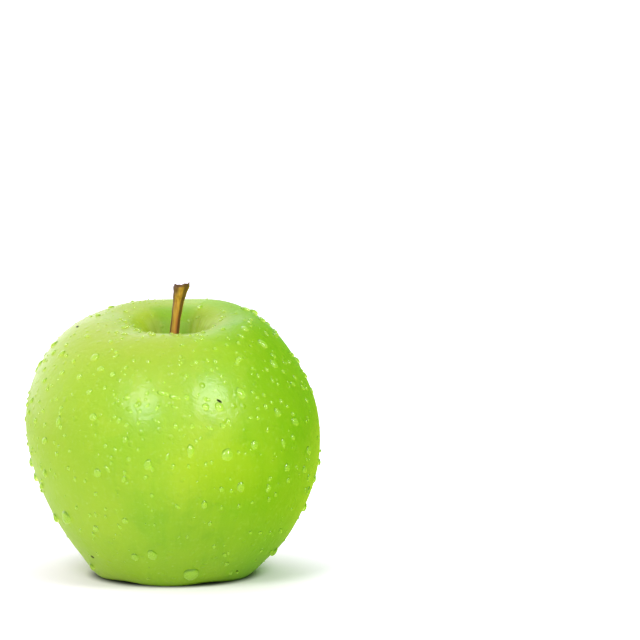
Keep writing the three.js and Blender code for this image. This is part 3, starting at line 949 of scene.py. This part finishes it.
class APPLE_OT_stem(Operator):
    """Models the woody stem with its ridges and its broken, flared end"""
    bl_idname = "green_apple.stem"
    bl_label = "Stem"

    def execute(self, context):
        settings = context.scene.green_apple.stem
        stem = tube(settings.sides, settings.rings)
        draw = random.Random(STEM_SEED)
        waves = [
            (draw.randint(4, 17), draw.uniform(0, math.tau), draw.uniform(-3, 3))
            for _ in range(STEM_WAVES)
        ]
        shaped, bark = [], []
        for x, y, share in vertices(stem.data):
            out, angle = min(1.0, math.hypot(x, y)), math.atan2(y, x)
            ridges = sum(
                math.cos(n * angle + start + twist * share) / n for n, start, twist in waves
            )
            knobs = 0.03 * math.sin(37 * share + 2 * angle) * math.sin(11 * share + 1.3)
            ribs = math.sin(3 * angle + 0.8 * share)
            radius = stem_radius(share) * (1 + settings.ridge * (ribs + ridges) + knobs)
            up = torn_end(angle, out, x * radius) if share > STEM_END else 0.0
            bark.append((x, ribs, share))
            shaped.append(Vector(bezier(STEM_PATH, share)) + Vector((x * radius, y * radius, up)))
        store(stem.data, "bark", bark)
        move_vertices(stem.data, np.array(shaped))
        bpy.ops.object.shade_smooth()
        named(stem, "stem_bark")
        stem.data.materials.append(bark_material(settings))
        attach(stem, "root")
        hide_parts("stem")
        return {"FINISHED"}


def bark_material(colours):
    """Golden brown bark, streaked along its length, with painted shade in its grooves, darker on
    the left below the flare and dark at the broken end.
    """
    s = Shader("stem bark")
    right, ribs, share = s.parts(s.attribute("bark"))
    streaks = s.noise(s.stretched(s.coords, (1, 1, 0.12)), scale=1500, detail=5, roughness=0.65)
    blotches = s.noise(s.coords, scale=320, detail=4, roughness=0.6)
    low_right = s.times(s.ramp(right, (-0.3, 0.4)), s.ramp(share, (0.8, 0.6), (0.15, 0.9)))
    collar = s.times(s.ramp(share, (0.84, 0.93), (0, 0.8)), s.ramp(right, (0.1, -0.5)))
    plain = s.blend(s.ramp(streaks, (0.3, 0.62)), colours.bark_dark, colours.bark)
    return s.finished({
        "Base Color": s.layered(plain, (
            (s.larger(low_right, s.ramp(blotches, (0.5, 0.72), (0, 0.5))), colours.bark_red),
            # Painted shade in the grooves between the ridges.
            (s.ramp(ribs, (0.1, -0.8), (0, 0.85)), colours.groove),
            (collar, colours.groove),
            (s.ramp(share, (0.955, 0.985), (0, 0.85)), colours.groove),
        )),
        "Roughness": s.ramp(streaks, (0.3, 0.7), (0.7, 0.5)),
        "Normal": s.bumps(((blotches, 0.4, 0.0002), (streaks, 0.6, 0.00012))),
    })


# ---- The calyx --------------------------------------------------------------

def sepal(turn):
    """A dried sepal: a pointed, wrinkled blade that closes inwards and curls out at its tip."""
    start_clean()
    bpy.ops.mesh.primitive_grid_add(
        x_subdivisions=10, y_subdivisions=24, size=1, location=(0, 0, 0),
    )
    blade = bpy.context.object
    flat = vertices(blade.data)
    share = flat[:, 1] + 0.5
    across = flat[:, 0] * SEPAL_WIDTH * (1 - share**1.6) * (1 + 0.1 * np.sin(math.pi * share))
    out = SEPAL_ROOT - SEPAL_CLOSING * np.sin(math.pi * share**0.8) + SEPAL_CURL * share**3
    out += SEPAL_CUP * across**2
    crinkled = 0.00016 * np.cos(16 * share + turn) * share
    out += crinkled + 0.00012 * np.cos(14 * flat[:, 0] + 3 * turn)
    down = -SEPAL_LENGTH * share * (1 - 0.25 * share) - CALYX_GAP
    aside = across + SEPAL_TWIST * share**2 * np.sin(5 * turn)
    move_vertices(blade.data, np.stack([out + SEPAL_THICKNESS, aside, down], -1))
    thick = blade.modifiers.new("thickness", "SOLIDIFY")
    thick.thickness = SEPAL_THICKNESS
    bpy.ops.object.modifier_apply(modifier="thickness")
    blade.data.transform(Matrix.Rotation(turn, 4, "Z"))
    return blade


def stamen(turn, length):
    """A withered stamen: a thin thread that leans out, with a small head."""
    start_clean()
    bpy.ops.mesh.primitive_circle_add(
        vertices=8, radius=STAMEN_RADIUS, fill_type="NGON", location=(0, 0, 0),
    )
    thread = bpy.context.object
    edit_all()
    for step in range(STAMEN_STEPS):
        extrude(STAMEN_LEAN * step, 0, -length / STAMEN_STEPS)
    leave_outward()
    bpy.ops.mesh.primitive_ico_sphere_add(
        subdivisions=2, radius=STAMEN_HEAD * STAMEN_RADIUS, location=(0, 0, 0),
    )
    head = bpy.context.object
    tip = Matrix.Translation((STAMEN_LEAN * sum(range(STAMEN_STEPS)), 0, -length))
    head.data.transform(tip @ Matrix.Diagonal((1, 0.7, 1.5, 1)))
    made = joined([thread, head], "stamen")
    placed = Matrix.Translation((STAMEN_RING, 0, -STAMEN_DEPTH))
    made.data.transform(Matrix.Rotation(turn, 4, "Z") @ placed)
    return made


def button():
    """The calyx's middle: a flat, rough cushion that meets the basin's floor."""
    start_clean()
    bpy.ops.mesh.primitive_uv_sphere_add(
        segments=40, ring_count=20, radius=1, location=(0, 0, 0),
    )
    made = bpy.context.object
    radius, height = BUTTON
    ball = vertices(made.data)
    angle = np.arctan2(ball[:, 1], ball[:, 0])
    uneven = 1 + 0.05 * np.cos(5 * angle) + 0.03 * np.cos(13 * angle)
    uneven += 0.02 * np.cos(9 * ball[:, 2])
    places = ball * uneven[:, None] * np.array((radius, radius, (height + CALYX_GAP) / 2))
    places[:, 2] += (CALYX_GAP - height) / 2
    move_vertices(made.data, places)
    return made


class APPLE_OT_calyx(Operator):
    """Models the dried calyx: a button, five curled sepals and a tuft of stamens"""
    bl_idname = "green_apple.calyx"
    bl_label = "Calyx"

    def execute(self, context):
        settings = context.scene.green_apple
        form, calyx = settings.form, settings.calyx
        turns = [form.lobe_angle + math.tau * i / form.lobes for i in range(form.lobes)]
        pieces = [button()] + [sepal(turn) for turn in turns]
        for i in range(calyx.stamens):
            length = STAMEN_LENGTH * (0.8 + 0.2 * math.sin(5 * i))
            pieces.append(stamen(math.tau * i / calyx.stamens, length))
        made = joined(pieces, "dried_calyx")
        basin_floor = Vector(grown(form, 0.0, BASIN_FLOOR, 0.0))
        made.data.transform(Matrix.Translation(basin_floor - Vector((0, 0, CALYX_GAP))))
        bpy.ops.object.shade_smooth()
        made.data.materials.append(dried_material(calyx))
        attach(made, "root")
        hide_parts("calyx")
        return {"FINISHED"}


def dried_material(colours):
    """Dry brown tissue, paler and fuzzy in streaks."""
    s = Shader("dried calyx")
    blotches = s.noise(s.coords, scale=900, detail=5, roughness=0.6)
    fuzz = s.noise(s.stretched(s.coords, (1, 1, 0.2)), scale=5200, detail=3, roughness=0.6)
    plain = s.blend(s.ramp(blotches, (0.35, 0.65)), colours.shadow, colours.tissue)
    return s.finished({
        "Base Color": s.blend(s.ramp(fuzz, (0.5, 0.72), (0, 0.55)), plain, colours.fuzz),
        "Roughness": 0.88,
        "Normal": s.bumps(((blotches, 0.6, 0.0002), (fuzz, 0.5, 0.00008))),
    })


# ---- The water --------------------------------------------------------------

def even_numbers(seed):
    """Even numbers from 0 to 1, the same on every run."""
    state = seed
    while True:
        state = (state * 1664525 + 1013904223) % 2**32
        yield state / 2**32


def skin_point(form, spans, angle):
    """The place on the outer skin that is so many spans of the profile down from the shoulder."""
    knots = profile_knots()[2:]
    i = min(int(spans), 2)
    (start, _, leaving), (end, arriving, _) = knots[i], knots[i + 1]
    r, z = bezier((start, leaving, arriving, end), spans - i)
    return Vector(grown(form, r, z, angle))


def frame_on_skin(place, outward, turn=0.0):
    """A frame on the skin: x across the slope, y down it and z out of it, turned in degrees."""
    across = outward.cross(Vector((0, 0, -1)))
    across = across.normalized() if across.length > 1e-3 else Vector((1, 0, 0))
    side = across * -1
    axes = Matrix((side, outward.cross(side), outward)).transposed().to_4x4()
    return Matrix.Translation(place) @ axes @ Matrix.Rotation(math.radians(turn), 4, "Z")


def seen_at(skin_tree, x, z):
    """Where the skin hides a point of the plane y = 0 from EYE, or comes nearest to that point."""
    point = Vector((x, 0, z))
    place, outward, _, _ = skin_tree.ray_cast(EYE, (point - EYE).normalized())
    if place is None:
        place, outward, _, _ = skin_tree.find_nearest(point)
    return place, outward


def large_drops(form, water, skin_tree):
    """Place, direction, width and stretch of each large drop: the front's, and others strewn."""
    found = [(*seen_at(skin_tree, x, z), width, stretch) for x, z, width, stretch in FRONT_DROPS]
    least, most = OTHER_WIDTHS
    draw = even_numbers(water.seed)
    while len(found) < len(FRONT_DROPS) + water.others:
        place = skin_point(form, 2 * next(draw), math.tau * next(draw))
        width = least + (most - least) * next(draw)
        stretch = 1 + OTHER_STRETCH * next(draw)
        apart = all((place - other[0]).length > DROP_CLEARANCE * width for other in found)
        if place.y > FRONT_EDGE and place.z > LOWEST_DROP and apart:
            on_skin, outward, _, _ = skin_tree.find_nearest(place)
            found.append((on_skin, outward, width, stretch))
    return found


def dome(segments, rings, sunk):
    """A drop one unit wide: a ball cut off a little below the skin, and closed.

    It keeps its own coordinates, which the water's material reads.
    """
    start_clean()
    bpy.ops.mesh.primitive_uv_sphere_add(
        segments=segments, ring_count=rings, radius=0.5, location=(0, 0, 0),
    )
    made = bpy.context.object
    edit_all()
    bpy.ops.mesh.bisect(
        plane_co=(0, 0, -sunk), plane_no=(0, 0, 1), clear_inner=True, use_fill=True,
    )
    bpy.ops.object.mode_set(mode="OBJECT")
    store(made.data, "drop", 2 * vertices(made.data))
    return made


def run_down(mesh, draw):
    """Gives a drop an uneven outline of its own, and lets its top sag down the slope."""
    places = vertices(mesh)
    angle = np.arctan2(places[:, 1], places[:, 0])
    uneven = 1 + sum(
        depth * np.cos(waves * angle + math.tau * draw.random()) for waves, depth in OUTLINE_WAVES
    )
    places[:, :2] *= uneven[:, None]
    places[:, 1] += SAG * places[:, 2]
    move_vertices(mesh, places)


def placed_drop(base, draw, frame_here, size):
    """A copy of a drop with its own mesh and outline, moved within that mesh."""
    copy = base.copy()
    copy.data = base.data.copy()
    run_down(copy.data, draw)
    copy.data.transform(frame_here @ Matrix.Diagonal((*size, 1)))
    bpy.context.collection.objects.link(copy)
    return copy


def wet(base, copies, name, colours):
    """Joins the copies of a drop as one piece of clear water, and does away with their model."""
    bpy.data.objects.remove(base)
    piece = joined(copies, name)
    bpy.ops.object.shade_smooth()
    piece.data.materials.append(bpy.data.materials.get("water") or water_material(colours))
    piece.visible_shadow = False
    piece.visible_diffuse = False
    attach(piece, "root")


class APPLE_OT_drops(Operator):
    """Models the large drops of water on the skin"""
    bl_idname = "green_apple.drops"
    bl_label = "Drops"

    def execute(self, context):
        form, water = context.scene.green_apple.form, context.scene.green_apple.water
        skin_tree = surface_tree(bpy.data.objects["skin"])
        draw = random.Random(water.seed)
        base = dome(segments=32, rings=24, sunk=0.06)
        copies = []
        for place, outward, width, stretch in large_drops(form, water, skin_tree):
            size = (width, width * stretch, 2 * water.rise * width)
            copies.append(placed_drop(base, draw, frame_on_skin(place, outward), size))
        wet(base, copies, "water_drops", water)
        return {"FINISHED"}


class APPLE_OT_droplets(Operator):
    """Models the small droplets of water all over the skin"""
    bl_idname = "green_apple.droplets"
    bl_label = "Droplets"

    def execute(self, context):
        form, water = context.scene.green_apple.form, context.scene.green_apple.water
        skin_tree = surface_tree(bpy.data.objects["skin"])
        taken = [(place, width) for place, _, width, _ in large_drops(form, water, skin_tree)]
        draw = random.Random(water.seed)
        base = dome(segments=10, rings=8, sunk=0.08)
        copies = []
        for x, z, width, stretch, turn in SMALL_DROPS:
            place, outward = seen_at(skin_tree, x, z)
            size = (width, width * stretch, DROPLET_RISE * width)
            copies.append(placed_drop(base, draw, frame_on_skin(place, outward, turn), size))
            taken.append((place, width * stretch))
        core = Vector((0, 0, CORE_MIDDLE))
        least, most = DROPLET_WIDTHS
        while len(copies) < water.droplets:
            away = Vector((draw.gauss(0, 1), draw.gauss(0, 1), draw.gauss(0, 1))).normalized()
            place, outward, _, _ = skin_tree.ray_cast(core + OUTSIDE * away, -away)
            width = least + (most - least) * draw.random() ** DROPLET_SKEW
            up = float(smooth((place.z - THINNING_HEIGHT) / THINNING_REACH))
            kept = draw.random() < FOOT_SHARE + (1 - FOOT_SHARE) * up
            free = all(
                (place - other).length > DROPLET_GAP * (wide + width) for other, wide in taken
            )
            if not (kept and free and place.z > LOWEST_DROPLET):
                continue
            size = (width, width * draw.uniform(*DROPLET_STRETCH), DROPLET_RISE * width)
            turn = draw.uniform(-DROPLET_TURN, DROPLET_TURN)
            copies.append(placed_drop(base, draw, frame_on_skin(place, outward, turn), size))
        wet(base, copies, "water_droplets", water)
        return {"FINISHED"}


def water_material(colours):
    """Clear water over green skin: a pale green body, partly the water's tint and partly painted
    light, a painted caustic low in a drop and painted shade along its upper edge.
    """
    s = Shader("water")
    _, down, out = s.parts(s.attribute("drop"))
    ripples = s.noise(s.coords, scale=500, detail=2)
    # Painted caustic: light painted low in the drop, near the skin.
    painted_caustic_share = s.times(s.ramp(out, (0.2, 0.75), (1, 0.25)), s.ramp(down, (0.0, 0.7)))
    # Painted shade along the drop's upper edge, near the skin.
    shaded = s.times(s.ramp(out, (0.12, 0.6), (1, 0)), s.ramp(down, (-0.7, 0.1), (0.85, 0)))
    return s.finished({
        "Base Color": s.layered(colours.clear, (
            (painted_caustic_share, colours.bright),
            (shaded, colours.dark),
        )),
        "Roughness": 0.04,
        "IOR": 1.33,
        "Transmission Weight": 0.72,
        "Coat Weight": 0.4,
        "Coat Roughness": 0.03,
        "Coat IOR": 1.6,
        "Normal": s.bumps(((ripples, 0.06, 0.0001),)),
    })


# ---- The studio -------------------------------------------------------------

def aimed(piece, place, aim):
    """Puts a lamp or a camera at a place, pointing at another."""
    piece.location = place
    piece.rotation_mode = "QUATERNION"
    piece.rotation_quaternion = (Vector(aim) - Vector(place)).to_track_quat("-Z", "Y")


def softbox(name, azimuth, elevation, power):
    """A round soft light, its direction given in degrees from the front, to the right and up."""
    across, up = math.radians(azimuth), math.radians(elevation)
    middle = Vector((0, 0, CORE_MIDDLE))
    level = math.cos(up)
    away = Vector((math.sin(across) * level, -math.cos(across) * level, math.sin(up)))
    start_clean()
    bpy.ops.object.light_add(type="AREA", location=(0, 0, 0))
    lamp = bpy.context.object
    lamp.name = name
    lamp.data.shape = "DISK"
    lamp.data.size = SOFTBOX_WIDTH
    lamp.data.energy = power
    aimed(lamp, middle + SOFTBOX_DISTANCE * away, middle)


class APPLE_OT_studio(Operator):
    """Sets up the pale floor, the soft lights and the camera"""
    bl_idname = "green_apple.studio"
    bl_label = "Studio"

    def execute(self, context):
        studio = context.scene.green_apple.studio
        start_clean()
        bpy.ops.mesh.primitive_plane_add(size=FLOOR_SIDE, location=(0, 0, 0))
        floor = named(context.object, "floor")
        floor.data.materials.append(floor_material())
        for name, azimuth, elevation, share in SOFTBOXES:
            softbox(name, azimuth, elevation, share * studio.softbox_power)
        context.scene.world = white_studio(studio)
        context.scene.view_settings.view_transform = "Standard"
        bpy.ops.object.camera_add(location=(0, 0, 0))
        camera = context.object
        camera.data.lens = CAMERA_LENS
        camera.data.sensor_width = CAMERA_SENSOR
        aimed(camera, CAMERA_PLACE, CAMERA_AIM)
        context.scene.camera = camera
        return {"FINISHED"}


def white_studio(studio):
    """A white world, brighter behind and green on the right, and plain white to the camera."""
    world = bpy.data.worlds.new("white studio")
    world.use_nodes = True
    n = Nodes(world.node_tree)
    right, back, up = n.parts(n.node("TexCoord").outputs["Generated"])
    seen = n.node("LightPath").outputs["Is Camera Ray"]
    strength = n.ramp(back, (-0.2, 0.8), (studio.surroundings, studio.behind))
    strength = n.times(strength, n.ramp(up, (0.0, 0.8), (1.12, 0.8)))
    strength = n.times(strength, n.ramp(n.plus(right, back), (-1.2, -0.6), (0.74, 1)))
    white = n.ramp(n.plus(right, n.times(back, 0.3)), (0.1, 0.6), (1, 0))
    n.filled(n.tree.nodes["Background"], {
        "Color": n.blend(n.larger(white, seen), studio.dark_colour, (1, 1, 1)),
        "Strength": n.larger(strength, seen),
    })
    return world


def floor_material():
    """White paint that fades into the studio.

    It gives back green light on the right and, as painted shade, less light round the fruit; shows
    the camera a painted contact shadow where the fruit touches it and a glow that fades out towards
    the fruit, painted shade round it; and is clear from below.
    """
    s = Shader("white floor")
    seen = s.node("LightPath").outputs["Is Camera Ray"]
    distance = s.length(s.coords)
    painted = s.layered(s.blend(s.noise(s.coords, scale=3, detail=2), *FLOOR_PAINT), (
        # Painted contact shadow, seen by the camera, in a ring round the fruit's foot.
        (s.ramp(distance, (0.0185, 0.0235), (0.85, 0)), PAINTED_CONTACT_SHADOW),
    ))
    bounce = s.layered(s.blend(s.ramp(s.part(s.coords, 0), (-0.01, 0.06)), *FLOOR_BOUNCE), (
        # Painted shade: the floor gives back less light round the fruit.
        (s.ramp(distance, (0.022, 0.05), (0.12, 0)), (0, 0, 0)),
    ))
    s.finished({
        "Base Color": s.blend(seen, bounce, painted),
        "Roughness": 0.9,
        "Specular IOR Level": 0.0,
        "Emission Color": FLOOR_GLOW,
        # The glow fades out towards the fruit: painted shade round it.
        "Emission Strength": s.times(s.ramp(distance, (0.021, 0.085), (0.0, 0.8)), seen),
    })
    sides = s.filled(s.node("MixShader"), {
        0: s.node("NewGeometry").outputs["Backfacing"],
        1: s.surface.outputs[0],
        2: s.node("BsdfTransparent").outputs[0],
    })
    s.put(s.tree.nodes["Material Output"].inputs["Surface"], sides.outputs[0])
    return s.material


# ---- The panel and the run --------------------------------------------------

OPERATORS = (
    APPLE_OT_studio, APPLE_OT_skin, APPLE_OT_stem, APPLE_OT_calyx, APPLE_OT_drops,
    APPLE_OT_droplets,
)


class APPLE_PT_panel(Panel):
    """The apple's operators in the sidebar"""
    bl_idname = "APPLE_PT_panel"
    bl_label = "Green Apple"
    bl_space_type = "VIEW_3D"
    bl_region_type = "UI"
    bl_category = "Apple"

    def draw(self, context):
        for operator in OPERATORS:
            self.layout.operator(operator.bl_idname)


SETTINGS = (
    FormSettings, SkinSettings, StemSettings, CalyxSettings, WaterSettings, StudioSettings,
    AppleSettings,
)


def register():
    for each in (*SETTINGS, *OPERATORS, APPLE_PT_panel):
        bpy.utils.register_class(each)
    bpy.types.Scene.green_apple = PointerProperty(type=AppleSettings)


def unregister():
    del bpy.types.Scene.green_apple
    for each in (APPLE_PT_panel, *reversed(OPERATORS), *reversed(SETTINGS)):
        bpy.utils.unregister_class(each)


def main():
    register()
    bpy.ops.green_apple.studio()
    bpy.ops.green_apple.skin()
    bpy.ops.green_apple.stem()
    bpy.ops.green_apple.calyx()
    bpy.ops.green_apple.drops()
    bpy.ops.green_apple.droplets()
    start_clean()


if __name__ == "__main__":
    main()
